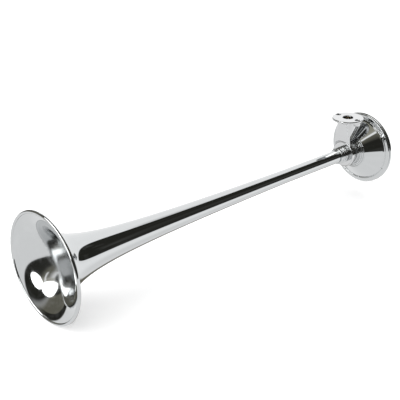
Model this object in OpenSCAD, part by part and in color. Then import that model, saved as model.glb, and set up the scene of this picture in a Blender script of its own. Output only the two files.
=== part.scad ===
// Single-trumpet air horn with a pad-mounted pedestal and a diaphragm housing.
// Origin: centre of the air inlet, on the face of the mounting pad.
// +Z leaves the pad, and the horn's own axis lies along Y, with the bell's mouth towards -Y.
// Turned pieces are drawn as [radius, station], where a station is a place along Y.

/* [Trumpet] */
// Outer radius of the bell's mouth, over the rolled rim
mouth_r = 76.2; // [60:0.1:90]
// Distance along the axis from the inlet's centre to the widest circle of the mouth
mouth_reach = 578.3; // [450:0.1:650]
// Outer radius of the tube at its small end
tube_r = 10.2; // [9.8:0.1:10.8]
// Wall of the spun bell and of the drawn tube
trumpet_wall = 1.2; // [1:0.05:1.4]
// Distance from the mouth in which the flare settles
flare_scale = 12.6; // [10:0.1:16]
// Power of the flare's law
flare_power = 0.555; // [0.5:0.005:0.62]
// Distance from the mouth to the brazed joint of bell and tube
joint_reach = 150; // [120:1:200]
// Overlap of bell and tube in the brazed joint
lap_len = 8; // [5:0.5:12]
// Radius of the wire in the rolled rim
wire_r = 1.35; // [1:0.05:1.8]
// Wall of the roll round the wire
roll_wall = 0.9; // [0.7:0.05:1.2]

/* [Ferrule] */
// Wall of the ferrule round the tube, between its beads
ferrule_wall = 1.65; // [1.6:0.05:2.5]
// Length of the ferrule
ferrule_len = 16; // [14:0.5:20]
// Depth of the socket that holds the tube
socket_depth = 7; // [4:0.5:8]
// Depth of the thread that draws the trumpet onto the pedestal
ferrule_thread_len = 8; // [5:0.5:8]
// Number of beads turned on the ferrule
ferrule_beads = 3; // [2:1:4]
// Radius of one bead's section
ferrule_bead_r = 1.6; // [1:0.1:2]

/* [Mounting pad] */
// Radius of the round pad
pad_r = 25; // [24.8:0.1:28]
// Thickness of the pad
pad_t = 3.8; // [3:0.1:6]
// Distance between the two bolt holes, centre to centre
bolt_spacing = 38.4; // [37:0.1:40]
// Radius of a bolt hole
bolt_hole_r = 3.9; // [3.2:0.1:4.2]
// Depth of a bolt hole, through its boss
bolt_boss_depth = 9; // [7:0.5:12]
// Radius of the air inlet's bore
inlet_r = 8.2; // [7.5:0.1:8.8]
// Depth of the air inlet's bore
inlet_depth = 12; // [10:0.5:14]
// Width of the edge break at the mouth of the air inlet
inlet_break = 0.5; // [0.3:0.1:0.8]
// Width of the edge break round the pad
pad_break = 0.6; // [0.3:0.1:1]

/* [Pedestal leg and boss] */
// Drop from the pad's face to the horn's axis
axis_drop = 61.4; // [58:0.1:70]
// Radius of the leg's round neck under the pad
neck_r = 18.6; // [17:0.1:19]
// Set-back of the neck behind the inlet's centre
neck_back = 5.5; // [4:0.1:5.8]
// Depth below the pad's face at which the leg's back has run in to its narrow part
waist_depth = 28; // [24:0.5:32]
// How far the lip of the leg's front face stands off the boss
lip_rise = 3.4; // [2.5:0.1:4.5]
// Half width of the leg's broad front face
front_half = 15.6; // [14:0.1:17]
// How far the leg's front face stands in front of the inlet's centre
front_reach = 10.6; // [9.6:0.1:11.5]
// Rounding of the upright edges of the front face
front_round = 1.5; // [1:0.1:3]
// Radius of the leg's rounded back, round the air passage
spine_r = 6.8; // [6.2:0.1:8]
// Radius of the boss that carries the trumpet
boss_r = 21; // [20.5:0.1:23]
// Distance from the inlet's centre to the boss's front face
boss_front = 6.8; // [6.5:0.1:9]
// Length of the boss
boss_len = 16.5; // [16:0.1:20]
// Thickness of the boss's front wall
boss_wall = 4; // [3.5:0.1:4.3]
// Rounding of the boss's front edge
boss_round = 1.5; // [0.5:0.1:2.5]
// Radius of the air gallery round the nozzle
gallery_r = 15; // [13:0.1:15.5]
// Radius of the air passage down the leg
passage_r = 3.5; // [3:0.1:3.8]
// Set-back of the air passage behind the inlet's centre
passage_back = 1; // [0.8:0.1:1.4]

/* [Diaphragm housing] */
// Radius of the housing's front face
housing_front_r = 18; // [17.5:0.1:19]
// Length of the stretch of beaded rings
ring_len = 5.8; // [5.4:0.1:7]
// Number of beaded rings
ring_count = 4; // [3:1:5]
// Radius of one ring's section
ring_bead_r = 1.2; // [1:0.05:1.25]
// Radius at the cone's small end
cone_small_r = 27; // [26:0.1:29]
// Width of the housing's flange outside the cone's large end
flange_w = 9.2; // [8.8:0.1:10]
// Length of the cone
cone_len = 18.7; // [17:0.1:20]
// Wall of the cone, measured across the axis
cone_wall = 4.2; // [3.5:0.1:4.5]
// Distance from the cone's end to the housing's rear face
shoulder_len = 6; // [5.6:0.1:8]
// Outer radius of the housing's and the cover's rims
rim_r = 57.8; // [57:0.1:60]
// Radius of the rounded edge of the housing's rim
rim_round = 1.7; // [1.4:0.1:2]
// Radius of the neck bore round the nozzle
neck_bore_r = 14; // [13:0.1:14.5]
// Thickness of the housing's front wall
front_wall = 3.5; // [3:0.1:4]

/* [Nozzle] */
// Outer radius of the nozzle's tube
nozzle_r = 9.5; // [9:0.1:9.6]
// Radius of the nozzle's bore at its seat
throat_r = 6; // [5:0.1:7]
// Radius of the nozzle's bore at its front end
nozzle_exit_r = 7.8; // [7:0.1:8]
// Radius of the nozzle's ported flange
nozzle_flange_r = 20; // [18:0.1:20]
// Thickness of the ported flange
nozzle_flange_t = 2.5; // [2:0.1:3]
// Number of air ports in the flange
port_count = 6; // [4:1:8]
// Radius of one air port
port_r = 1.8; // [1.2:0.1:2]
// Depth of the groove for the O-ring
oring_groove = 1.1; // [0.9:0.05:1.2]

/* [Diaphragm and cover] */
// Thickness of each gasket
gasket_t = 0.5; // [0.4:0.05:0.8]
// Thickness of the diaphragm
diaphragm_t = 0.4; // [0.3:0.05:0.6]
// Distance from the rim's edge to the edge of the diaphragm and its gaskets
sheet_inset = 2.2; // [1.5:0.1:3]
// Width of the clamped seal inside the screws
seal_w = 3.4; // [2:0.1:4.5]
// Radius of the valve disc that closes the nozzle
valve_r = 11; // [10:0.1:14]
// Thickness of the valve disc
valve_t = 1.8; // [1.5:0.1:2.5]
// Thickness of the backing washer
backing_t = 1.2; // [0.8:0.1:1.5]
// Radius of the centre rivet's shank
rivet_r = 1.5; // [1.2:0.1:2]
// Height of each head of the centre rivet
rivet_head_t = 1.2; // [1:0.1:1.4]
// Travel of the valve disc off its seat
valve_travel = 0.8; // [0.4:0.1:1]
// Thickness of the back cover at its rim
cover_rim_t = 4; // [3:0.1:5]
// Wall of the back cover's dome
cover_wall = 2.5; // [2:0.1:3]
// Number of screws that hold the cover
screw_count = 6; // [6:1:8]
// Distance from the rim's edge to the centre of a screw
screw_inset = 6.3; // [5.8:0.1:7]
// Angle of the first screw, from +X towards +Z
screw_start = 33; // [0:1:60]
// Radius of a screw's shank
screw_r = 2; // [1.5:0.1:2.2]
// Radius of a screw's head
screw_head_r = 3.7; // [3:0.1:4]
// Height of a screw's head
screw_head_t = 2.4; // [2:0.1:3]
// Thickness of a split lock washer
washer_t = 0.9; // [0.6:0.1:1.2]

/* [Inlet strainer] */
// Thickness of the strainer
strainer_t = 1.2; // [0.8:0.1:1.5]
// Width of the ledge between the inlet's bore and the strainer's seat
strainer_ledge = 0.8; // [0.5:0.1:1]
// Width of the strainer's plain border
strainer_border = 0.5; // [0.4:0.1:1]
// Radius of one hole in the strainer
strainer_hole_r = 0.6; // [0.5:0.05:0.7]
// Distance between neighbouring holes of the strainer
strainer_pitch = 2; // [1.8:0.1:2.4]

/* [Hidden] */
$fn = 96;

// Clearances between pieces that are put together
close_gap = 0.05;
thread_gap = 0.1;
end_gap = 0.2;
edge_gap = 0.3;
seat_gap = 0.05;
stop_gap = 1;
// How far a cut runs past the face that it opens
over = 1;

// Trumpet
roll_r = wire_r + close_gap + roll_wall;
roll_circle_r = mouth_r - roll_r;
roll_slope = roll_circle_r * flare_power / flare_scale;
roll_start = (roll_r - roll_wall / 2) / sqrt(1 + roll_slope * roll_slope);
// Numbers of steps, and how much closer the first ones lie than the last
flare_steps = 30;
bell_bend = 2.2;
tube_steps = 18;
tube_bend = 1.6;

// Stations along Y, from the front to the back
boss_face = -boss_front;
boss_rear = boss_face + boss_len;
ferrule_rear = boss_face - gasket_t;
ferrule_face = ferrule_rear - ferrule_len;
socket_floor = ferrule_face + socket_depth;
thread_floor = ferrule_rear - ferrule_thread_len;
gallery_face = boss_face + boss_wall;
oring_station = boss_face + boss_wall / 2;
housing_face = boss_rear + gasket_t;
flange_station = housing_face + front_wall;
cone_start = housing_face + ring_len;
cone_end = cone_start + cone_len;
housing_rear = cone_end + shoulder_len;
diaphragm_face = housing_rear + gasket_t;
diaphragm_back = diaphragm_face + diaphragm_t;
cover_face = diaphragm_back + gasket_t;
cover_rear = cover_face + cover_rim_t;
valve_face = diaphragm_face - valve_t;
nozzle_seat = valve_face - seat_gap;
nozzle_front = thread_floor + end_gap;
rivet_tail = diaphragm_back + backing_t;
dome_inner = rivet_tail + rivet_head_t + valve_travel + stop_gap;
dome_outer = dome_inner + cover_wall;

// Ferrule
tube_end = mouth_reach + socket_floor;
tube_seat_r = flare_r(mouth_reach + ferrule_face);
socket_r = tube_seat_r + close_gap;
ferrule_r = socket_r + ferrule_wall;

// Housing
cone_large_r = rim_r - flange_w;
screw_hole_r = screw_r + thread_gap;
screw_circle_r = rim_r - screw_inset;
free_r = screw_circle_r - screw_hole_r - seal_w;
diaphragm_r = rim_r - sheet_inset;
core_slope = (cone_small_r - housing_front_r) / ring_len;
ring_sink = 0.3;
ring_pitch = ring_len / (ring_count - ring_sink);
cone_slope = (cone_large_r - cone_small_r) / cone_len;
cavity_start = flange_station + nozzle_flange_t + over;
pocket_r = nozzle_flange_r + edge_gap;
rim_bead_r = rim_r - rim_round;
rim_front = housing_rear - 2 * rim_round;
flange_face_r = rim_bead_r - rim_round;
step_rise = 1.6;
step_r = cone_large_r + step_rise;
trim_bead_r = 0.8;
trim_circle_r = step_r + 2 * trim_bead_r;
dome_corner = 2 * cover_wall;

// Pedestal
slice = 0.4;
passage_end = axis_drop - (gallery_r + nozzle_r) / 2;
foot_depth = axis_drop - boss_r / 2;
lip_sink = 0.6;
lip_rear = boss_face + boss_round + lip_sink;
bolt_boss_r = pad_r - bolt_spacing / 2 - edge_gap;

// Small pieces
oring_r = (nozzle_r + thread_gap - (nozzle_r - oring_groove)) / 2 - close_gap / 2;
oring_circle_r = nozzle_r - oring_groove + (oring_groove + thread_gap) / 2;
oring_groove_len = 2 * oring_r + 2 * edge_gap;
port_circle_r = (nozzle_r + neck_bore_r) / 2;
rivet_head_r = 2 * rivet_r;
strainer_seat_r = inlet_r - strainer_ledge;
strainer_top = inlet_depth + end_gap;
strainer_floor = strainer_top + strainer_t;
strainer_r = strainer_seat_r - thread_gap;
strainer_rings = floor((strainer_r - strainer_border - strainer_hole_r) / strainer_pitch);
slot_w = 0.9;
washer_r = screw_head_r;
washer_hole_r = screw_r + thread_gap;
washer_slit = 0.6;

// Radius of the circle on which a ring's section is centred, behind the housing's front face
function core_r(place) =
    housing_front_r + place * core_slope - ring_sink * sqrt(1 + core_slope * core_slope);

// Outer radius of the trumpet at a distance from the mouth, and the slope there
function flare_r(d) = max(tube_r, roll_circle_r * pow(1 + d / flare_scale, -flare_power));
function flare_slope(d) = flare_r(d) > tube_r ? -flare_power * flare_r(d) / (d + flare_scale) : 0;

// Point of the trumpet's wall, at a depth under its outer surface
function wall_point(d, depth) =
    let (m = flare_slope(d), n = sqrt(1 + m * m))
    [flare_r(d) - depth / n, d + depth * m / n - mouth_reach];
function outer_wall(ds) = [for (d = ds) wall_point(d, 0)];
function inner_wall(ds, depth) = [for (i = [len(ds) - 1:-1:0]) wall_point(ds[i], depth)];

// Distances from the mouth, closest together where the flare bends most
function spread(from, to, steps, bend) =
    [for (i = [0:steps]) from + (to - from) * pow(i / steps, bend)];

// Arc of a turned outline, from one angle to another about a centre
function arc(c, r, from, to, steps) =
    [for (i = [0:steps]) let (a = from + (to - from) * i / steps) c + r * [cos(a), sin(a)]];

// Lays a shape that was drawn along Z down the horn's own axis
module on_axis(station = 0) {
    translate([0, station, -axis_drop]) rotate([-90, 0, 0]) children();
}

module turned(outline) {
    on_axis() rotate_extrude() polygon(outline);
}

module rod(r, from, to) {
    on_axis(from) cylinder(r = r, h = to - from);
}

module bead(circle_r, station, r) {
    on_axis(station) rotate_extrude() translate([circle_r, 0]) circle(r = r, $fn = 32);
}

module ring(r_out, r_in, from, to) {
    difference() {
        rod(r_out, from, to);
        rod(r_in, from - over, to + over);
    }
}

// Repeats a shape on the circle of screws, at its own place on the circle
module at_screws() {
    for (i = [0:screw_count - 1]) {
        a = screw_start + i * 360 / screw_count;
        translate([screw_circle_r * cos(a), 0, screw_circle_r * sin(a) - axis_drop]) children();
    }
}

module along_y(r, from, to) {
    translate([0, from, 0]) rotate([-90, 0, 0]) cylinder(r = r, h = to - from, $fn = 48);
}

module bell() {
    lap_start = joint_reach - lap_len;
    body = spread(roll_start, joint_reach, flare_steps, bell_bend);
    lined = [for (d = body) if (d < lap_start) d];
    lap_depth = (trumpet_wall - close_gap) / 2;
    color("silver") difference() {
        union() {
            turned(concat(outer_wall(body), [wall_point(joint_reach, lap_depth)],
                [wall_point(lap_start, lap_depth), wall_point(lap_start, trumpet_wall)],
                inner_wall(lined, trumpet_wall)));
            bead(roll_circle_r, -mouth_reach, roll_r);
        }
        bead(roll_circle_r, -mouth_reach, wire_r + close_gap);
    }
}

module rim_wire() {
    color("gray") bead(roll_circle_r, -mouth_reach, wire_r);
}

module trumpet_tube() {
    lap_start = joint_reach - lap_len + end_gap;
    body = spread(joint_reach, tube_end, tube_steps, tube_bend);
    lap_depth = (trumpet_wall + close_gap) / 2;
    color("silver") turned(concat(
        [wall_point(lap_start, lap_depth), wall_point(joint_reach, lap_depth)],
        outer_wall(body), inner_wall(body, trumpet_wall),
        [wall_point(lap_start, trumpet_wall)]));
}

module throat_ferrule() {
    bead_pitch = ferrule_len / ferrule_beads;
    color("silver") difference() {
        union() {
            rod(ferrule_r, ferrule_face, ferrule_rear);
            for (i = [0:ferrule_beads - 1])
                bead(ferrule_r - ferrule_bead_r / 4, ferrule_face + (i + 0.5) * bead_pitch,
                    ferrule_bead_r);
        }
        rod(socket_r, ferrule_face - over, socket_floor);
        rod(tube_seat_r - trumpet_wall, socket_floor - over, ferrule_rear);
        rod(nozzle_r + thread_gap, thread_floor, ferrule_rear + over);
    }
}

module ferrule_gasket() {
    color("firebrick") ring(ferrule_r, nozzle_r + 2 * thread_gap, ferrule_rear, boss_face);
}

// Outline of the lower leg: a broad front face and a rounded back
module leg_outline() {
    hull() {
        for (side = [-1, 1])
            translate([side * (front_half - front_round), front_round - front_reach])
                circle(r = front_round, $fn = 32);
        circle(r = spine_r, $fn = 32);
    }
}

module leg_slice(depth) {
    translate([0, 0, -depth]) linear_extrude(slice) leg_outline();
}

// Leg down to the boss, its front cut back to a lip round the boss's edge
module leg() {
    difference() {
        union() {
            hull() {
                translate([0, neck_back, -pad_t / 2 - slice])
                    cylinder(r = neck_r, h = slice, $fn = 64);
                leg_slice(waist_depth);
            }
            hull() {
                leg_slice(waist_depth);
                leg_slice(foot_depth);
            }
        }
        turned([[0, -front_reach - over], [boss_r + lip_rise, -front_reach - over],
            [boss_r - lip_sink, lip_rear], [0, lip_rear]]);
    }
}

module pedestal() {
    color("silver") difference() {
        union() {
            rotate_extrude() polygon([[0, -pad_t], [pad_r, -pad_t], [pad_r, -pad_break],
                [pad_r - pad_break, 0], [0, 0]]);
            for (side = [-1, 1])
                translate([side * bolt_spacing / 2, 0, -bolt_boss_depth])
                    cylinder(r = bolt_boss_r, h = bolt_boss_depth - pad_t / 2, $fn = 48);
            leg();
            turned(concat([[0, boss_face]],
                arc([boss_r - boss_round, boss_face + boss_round], boss_round, -90, 0, 6),
                [[boss_r, boss_rear], [0, boss_rear]]));
        }
        translate([0, 0, -inlet_depth]) cylinder(r = inlet_r, h = inlet_depth + over);
        translate([0, 0, -inlet_break])
            cylinder(r1 = inlet_r, r2 = inlet_r + inlet_break + over, h = inlet_break + over);
        translate([0, 0, -strainer_floor]) cylinder(r = strainer_seat_r, h = strainer_t + over);
        translate([0, passage_back, -passage_end])
            cylinder(r = passage_r, h = passage_end - strainer_floor + over, $fn = 48);
        for (side = [-1, 1])
            translate([side * bolt_spacing / 2, 0, -bolt_boss_depth - over])
                cylinder(r = bolt_hole_r, h = bolt_boss_depth + 2 * over, $fn = 48);
        rod(nozzle_r + thread_gap, boss_face - over, gallery_face + over);
        rod(gallery_r, gallery_face, boss_rear + over);
    }
}

module inlet_strainer() {
    color("goldenrod") translate([0, 0, -strainer_floor]) difference() {
        cylinder(r = strainer_r, h = strainer_t);
        for (k = [0:strainer_rings])
            for (i = [0:max(1, 6 * k) - 1]) {
                a = i * 360 / max(1, 6 * k);
                translate([k * strainer_pitch * cos(a), k * strainer_pitch * sin(a), -over])
                    cylinder(r = strainer_hole_r, h = strainer_t + 2 * over, $fn = 24);
            }
    }
}

module nozzle() {
    color("goldenrod") difference() {
        union() {
            rod(nozzle_r, nozzle_front, nozzle_seat);
            rod(nozzle_flange_r, flange_station, flange_station + nozzle_flange_t);
        }
        on_axis(nozzle_front) cylinder(r1 = nozzle_exit_r, r2 = throat_r,
            h = nozzle_seat - nozzle_front);
        rod(nozzle_exit_r, nozzle_front - over, nozzle_front);
        rod(throat_r, nozzle_seat, nozzle_seat + over);
        for (i = [0:port_count - 1]) {
            a = i * 360 / port_count;
            translate([port_circle_r * cos(a), 0, port_circle_r * sin(a) - axis_drop])
                along_y(port_r, flange_station - over, flange_station + nozzle_flange_t + over);
        }
        ring(nozzle_r + over, nozzle_r - oring_groove, oring_station - oring_groove_len / 2,
            oring_station + oring_groove_len / 2);
    }
}

module nozzle_o_ring() {
    color("black") bead(oring_circle_r, oring_station, oring_r);
}

module neck_gasket() {
    color("firebrick") ring(housing_front_r - edge_gap, gallery_r + edge_gap, boss_rear, housing_face);
}

module diaphragm_housing() {
    color("silver") difference() {
        union() {
            turned([[0, housing_face], [housing_front_r, housing_face], [cone_small_r, cone_start],
                [cone_large_r, cone_end], [step_r, rim_front - trim_bead_r],
                [flange_face_r, rim_front], [rim_bead_r, rim_front], [rim_bead_r, housing_rear],
                [0, housing_rear]]);
            for (i = [1:ring_count])
                bead(core_r((i - 0.4) * ring_pitch), housing_face + (i - 0.4) * ring_pitch, ring_bead_r);
            bead(trim_circle_r, rim_front - trim_bead_r / 2, trim_bead_r);
            bead(rim_bead_r, housing_rear - rim_round, rim_round);
        }
        rod(neck_bore_r, housing_face - over, flange_station + over);
        rod(pocket_r, flange_station, cavity_start + over);
        turned([[0, cavity_start], [cone_small_r - cone_wall - (cone_start - cavity_start) * cone_slope,
            cavity_start], [cone_large_r - cone_wall, cone_end], [free_r, cone_end + over],
            [free_r, housing_rear + over], [0, housing_rear + over]]);
        at_screws() along_y(screw_hole_r, cone_end - 2 * over, housing_rear + over);
    }
}

module clamped_sheet(r_in, from, to) {
    difference() {
        ring(diaphragm_r, r_in, from, to);
        at_screws() along_y(screw_hole_r, from - over, to + over);
    }
}

module front_gasket() {
    color("dimgray") clamped_sheet(free_r, housing_rear, diaphragm_face);
}

module diaphragm() {
    color("gainsboro") clamped_sheet(rivet_r + thread_gap, diaphragm_face, diaphragm_back);
}

module valve_disc() {
    color("goldenrod") ring(valve_r, rivet_r + close_gap, valve_face, diaphragm_face);
}

module backing_washer() {
    color("gainsboro") ring(valve_r, rivet_r + close_gap, diaphragm_back, rivet_tail);
}

module centre_rivet() {
    color("gray") {
        rod(rivet_r, valve_face, rivet_tail);
        rod(rivet_head_r, valve_face - rivet_head_t, valve_face);
        rod(rivet_head_r, rivet_tail, rivet_tail + rivet_head_t);
    }
}

module rear_gasket() {
    color("dimgray") clamped_sheet(free_r, diaphragm_back, cover_face);
}

module back_cover() {
    edge_r = cover_rim_t / 2;
    color("silver") difference() {
        turned(concat([[0, cover_face]],
            arc([rim_r - edge_r, cover_face + edge_r], edge_r, -90, 90, 12),
            [[free_r, cover_rear], [free_r - dome_corner, dome_outer], [0, dome_outer]]));
        turned([[0, cover_face - over], [free_r, cover_face - over], [free_r, cover_face],
            [free_r - dome_corner, dome_inner], [0, dome_inner]]);
        at_screws() along_y(screw_hole_r, cover_face - over, dome_outer + over);
    }
}

module cover_screws() {
    head_face = cover_rear + washer_t;
    color("silver") at_screws() difference() {
        union() {
            along_y(screw_r, cone_end + over, head_face + over);
            along_y(screw_head_r, head_face, head_face + screw_head_t);
        }
        translate([-screw_head_r - over, head_face + screw_head_t / 2, -slot_w / 2])
            cube([2 * (screw_head_r + over), screw_head_t, slot_w]);
    }
}

module lock_washers() {
    color("gray") at_screws() difference() {
        along_y(washer_r, cover_rear, cover_rear + washer_t);
        along_y(washer_hole_r, cover_rear - over, cover_rear + washer_t + over);
        translate([0, cover_rear - over, -washer_slit / 2])
            cube([washer_r + over, washer_t + 2 * over, washer_slit]);
    }
}

bell();
rim_wire();
trumpet_tube();
throat_ferrule();
ferrule_gasket();
pedestal();
inlet_strainer();
nozzle();
nozzle_o_ring();
neck_gasket();
diaphragm_housing();
front_gasket();
diaphragm();
valve_disc();
backing_washer();
centre_rivet();
rear_gasket();
back_cover();
cover_screws();
lock_washers();
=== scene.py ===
import math

import bmesh
import bpy
from bpy.props import FloatProperty, FloatVectorProperty, IntProperty, PointerProperty
from mathutils import Matrix, Vector


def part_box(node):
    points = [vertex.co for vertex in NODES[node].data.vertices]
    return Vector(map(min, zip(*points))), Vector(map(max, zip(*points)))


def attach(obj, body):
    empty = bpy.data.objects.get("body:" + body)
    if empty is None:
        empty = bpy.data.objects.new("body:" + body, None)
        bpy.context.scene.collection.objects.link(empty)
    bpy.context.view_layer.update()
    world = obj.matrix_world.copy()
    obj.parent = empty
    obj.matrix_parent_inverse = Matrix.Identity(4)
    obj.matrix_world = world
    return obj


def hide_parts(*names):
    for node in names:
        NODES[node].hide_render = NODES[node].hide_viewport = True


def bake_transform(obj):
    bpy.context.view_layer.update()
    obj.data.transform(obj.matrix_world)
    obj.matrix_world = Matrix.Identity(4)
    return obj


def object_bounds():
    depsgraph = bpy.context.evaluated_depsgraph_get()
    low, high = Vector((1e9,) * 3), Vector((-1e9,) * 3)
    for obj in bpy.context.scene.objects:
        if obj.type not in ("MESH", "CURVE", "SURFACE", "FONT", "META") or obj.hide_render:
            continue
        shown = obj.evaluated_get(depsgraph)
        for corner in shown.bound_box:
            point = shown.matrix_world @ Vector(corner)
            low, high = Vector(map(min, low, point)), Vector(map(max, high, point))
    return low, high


bl_info = {
    "name": "Air Horn",
    "version": (1, 0, 0),
    "blender": (4, 5, 0),
    "location": "View3D > Sidebar > Air Horn",
    "description": "Chromed single-trumpet air horn built round its CAD frame",
    "category": "Object",
}

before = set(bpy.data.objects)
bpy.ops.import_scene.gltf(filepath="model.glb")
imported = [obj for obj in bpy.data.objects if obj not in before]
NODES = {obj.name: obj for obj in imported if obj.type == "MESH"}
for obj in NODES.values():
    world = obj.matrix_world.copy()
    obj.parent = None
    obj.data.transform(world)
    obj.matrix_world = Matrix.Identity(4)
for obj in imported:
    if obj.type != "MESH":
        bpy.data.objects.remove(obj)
CAD_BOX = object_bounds()
MM = 0.001
# Edges that bend by more than this are real corners
SHARP, CASTING_SHARP = math.radians(32), math.radians(80)
# Points that are closer than this are one, while a piece is made and once it is finished
WELD, FINE_WELD = 1e-6, 1e-7
# Points round a turned piece, round a bead's section and along a rim's half round
SIDES, SECTION_SIDES, RIM_STEPS = 160, 28, 14

# Places that the pieces share, read from the frame in metres. A station is a place along Y.
BELL_LOW, BELL_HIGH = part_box("bell")
TUBE_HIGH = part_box("trumpet_tube")[1]
FERRULE_LOW, FERRULE_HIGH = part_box("throat_ferrule")
HOUSING_LOW, HOUSING_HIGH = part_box("diaphragm_housing")
COVER_LOW, COVER_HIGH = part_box("back_cover")
SCREWS_LOW, SCREWS_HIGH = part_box("cover_screws")
WASHERS_LOW, WASHERS_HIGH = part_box("lock_washers")
GASKET_LOW, GASKET_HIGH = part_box("ferrule_gasket")
AXIS_DROP = -(BELL_LOW.z + BELL_HIGH.z) / 2
MOUTH_RADIUS = (BELL_HIGH.x - BELL_LOW.x) / 2
RIM_RADIUS = (HOUSING_HIGH.x - HOUSING_LOW.x) / 2


def linear(code):
    """Linear red, green, blue and alpha of an sRGB hex colour."""
    parts = [int(code[i:i + 2], 16) / 255 for i in (1, 3, 5)]
    return [p / 12.92 if p <= 0.04045 else ((p + 0.055) / 1.055) ** 2.4 for p in parts] + [1.0]


def wire(tree, node, links):
    """Sets a node's inputs from sockets or constants."""
    for key, value in links.items():
        if isinstance(value, bpy.types.NodeSocket):
            tree.links.new(value, node.inputs[key])
        else:
            node.inputs[key].default_value = value


def add_node(tree, kind, links=None, **settings):
    """Adds a node with its own settings and with the sockets or constants for its inputs."""
    node = tree.nodes.new(kind)
    for key, value in settings.items():
        setattr(node, key, value)
    wire(tree, node, links or {})
    return node


def size(name, description, millimetres):
    """A length that a user can change."""
    return FloatProperty(name=name, description=description, default=millimetres * MM, min=0.0,
                         unit="LENGTH", precision=5)


def number(name, description, default, least, most):
    """A count or a plain number that a user can change."""
    kind = IntProperty if isinstance(default, int) else FloatProperty
    return kind(name=name, description=description, default=default, min=least, max=most)


def colour(name, description, code):
    """A colour that a user can change."""
    return FloatVectorProperty(name=name, description=description, default=linear(code),
                               size=4, min=0.0, max=1.0, subtype="COLOR")


class TrumpetSizes(bpy.types.PropertyGroup):
    """Sizes of the spun bell and of the tube behind it"""
    roll_radius: size("Roll radius", "Radius of the rolled rim's section", 2.3)
    tube_radius: size("Tube radius", "Outer radius of the tube at its small end", 10.2)
    flare_scale: size("Flare scale", "Distance from the mouth in which the flare settles", 12.6)
    flare_power: number("Flare power", "Power of the flare's law", 0.555, 0.1, 2.0)
    lip: size("Lip", "Distance of the wall's front edge from the rolled rim's circle", 0.5)
    crowding: number("Crowding", "Power by which points crowd towards the mouth", 2.2, 1.0, 5.0)
    wall: size("Wall", "Wall of the bell and of the tube", 1.2)
    steps: number("Steps", "Points along one side of the wall", 110, 8, 400)
    sides: number("Sides", "Points round the trumpet", 160, 16, 400)


class FerruleSizes(bpy.types.PropertyGroup):
    """Sizes of the beaded ferrule that holds the tube"""
    wall: size("Wall", "Wall of the ferrule between its beads", 1.65)
    socket_depth: size("Socket depth", "Depth of the socket for the tube", 7)
    thread_depth: size("Thread depth", "Depth of the threaded rear end", 8)
    thread_radius: size("Thread radius", "Radius of the threaded rear end", 9.6)
    beads: number("Beads", "Number of turned beads", 3, 1, 6)
    bead_radius: size("Bead radius", "Radius of one bead's section", 1.6)


class PedestalSizes(bpy.types.PropertyGroup):
    """Sizes of the casting that carries the horn"""
    boss_radius: size("Boss radius", "Radius of the boss that carries the trumpet", 21)
    edge_radius: size("Edge radius", "Radius of the turned edge on the boss's front", 1.2)
    waist_depth: size("Waist depth", "Depth of the leg's waist below the pad", 28.2)
    waist_draw: size("Waist draw", "Distance by which the front corners are drawn in at the "
                     "waist, so that the leg widens steadily down to the boss", 1.6)
    grain: size("Grain", "Edge of one cell in which the casting's skin is rounded", 0.55)


class HousingSizes(bpy.types.PropertyGroup):
    """Sizes of the diaphragm housing"""
    front_radius: size("Front radius", "Radius of the front face", 18)
    neck_radius: size("Neck radius", "Radius of the neck's bore", 14)
    rings: number("Rings", "Number of beaded rings", 4, 1, 8)
    ring_length: size("Ring length", "Length of the stretch of rings", 5.8)
    ring_radius: size("Ring radius", "Radius of one ring's section", 1.2)
    cone_small: size("Cone small radius", "Radius at the cone's small end", 27)
    cone_length: size("Cone length", "Length of the cone", 18.7)
    cone_wall: size("Cone wall", "Wall of the cone, across the axis", 4.2)
    flange: size("Flange", "Width of the flange outside the cone", 9.2)
    step: size("Step", "Rise of the shoulder from the cone to the flange", 1.6)
    trim_radius: size("Trim radius", "Radius of the trim bead's section", 0.8)
    edge: size("Edge", "Rounding of the rim", 1.7)
    seat_radius: size("Seat radius", "Radius of the free part of the diaphragm", 46)
    pocket_radius: size("Pocket radius", "Radius of the pocket for the nozzle's flange", 20.3)
    front_wall: size("Front wall", "Thickness of the front wall", 3.5)
    pocket_depth: size("Pocket depth", "Depth of the pocket", 3.5)


class CoverSizes(bpy.types.PropertyGroup):
    """Sizes of the back cover and of what holds it"""
    rim_thickness: size("Rim thickness", "Thickness of the cover's rim", 4)
    wall: size("Wall", "Wall of the dome", 2.5)
    dome_radius: size("Dome radius", "Radius at the foot of the dome", 46)
    screws: number("Screws", "Number of screws", 6, 3, 12)
    screw_inset: size("Screw inset", "Distance from the rim's edge to a screw", 6.3)
    first_screw: FloatProperty(name="First screw", description="Angle of the first screw",
                               default=math.radians(33), subtype="ANGLE")
    shank_radius: size("Shank radius", "Radius of a screw's shank", 2)
    head_radius: size("Head radius", "Radius of a screw's head", 3.7)
    head_height: size("Head height", "Height of a screw's head", 2.4)
    bends: number("Bends", "Strips in which the diaphragm bends", 12, 2, 60)
    slot_width: size("Slot width", "Width of the driver slot and of a washer's split", 0.9)


class Finishes(bpy.types.PropertyGroup):
    """Colours of the metals, sheets and rubber"""
    chrome: colour("Chrome", "Bright chromium plate", "#C9CBCC")
    # Paler than the chrome: partly the plate's own tone and partly painted light, so that the
    # casting reads brighter
    cast_chrome_and_painted_light: colour("Plated casting", "Chromium plate on the casting", "#D0D1D2")
    brass: colour("Brass", "Turned brass", "#C9A65A")
    steel: colour("Steel", "Spring steel and wire", "#A7A9A9")
    fibre: colour("Fibre", "Vulcanised fibre of the flat gaskets", "#2A2523")
    rubber: colour("Rubber", "Nitrile rubber of the O-ring and clamped gaskets", "#1B1B1C")


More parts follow.
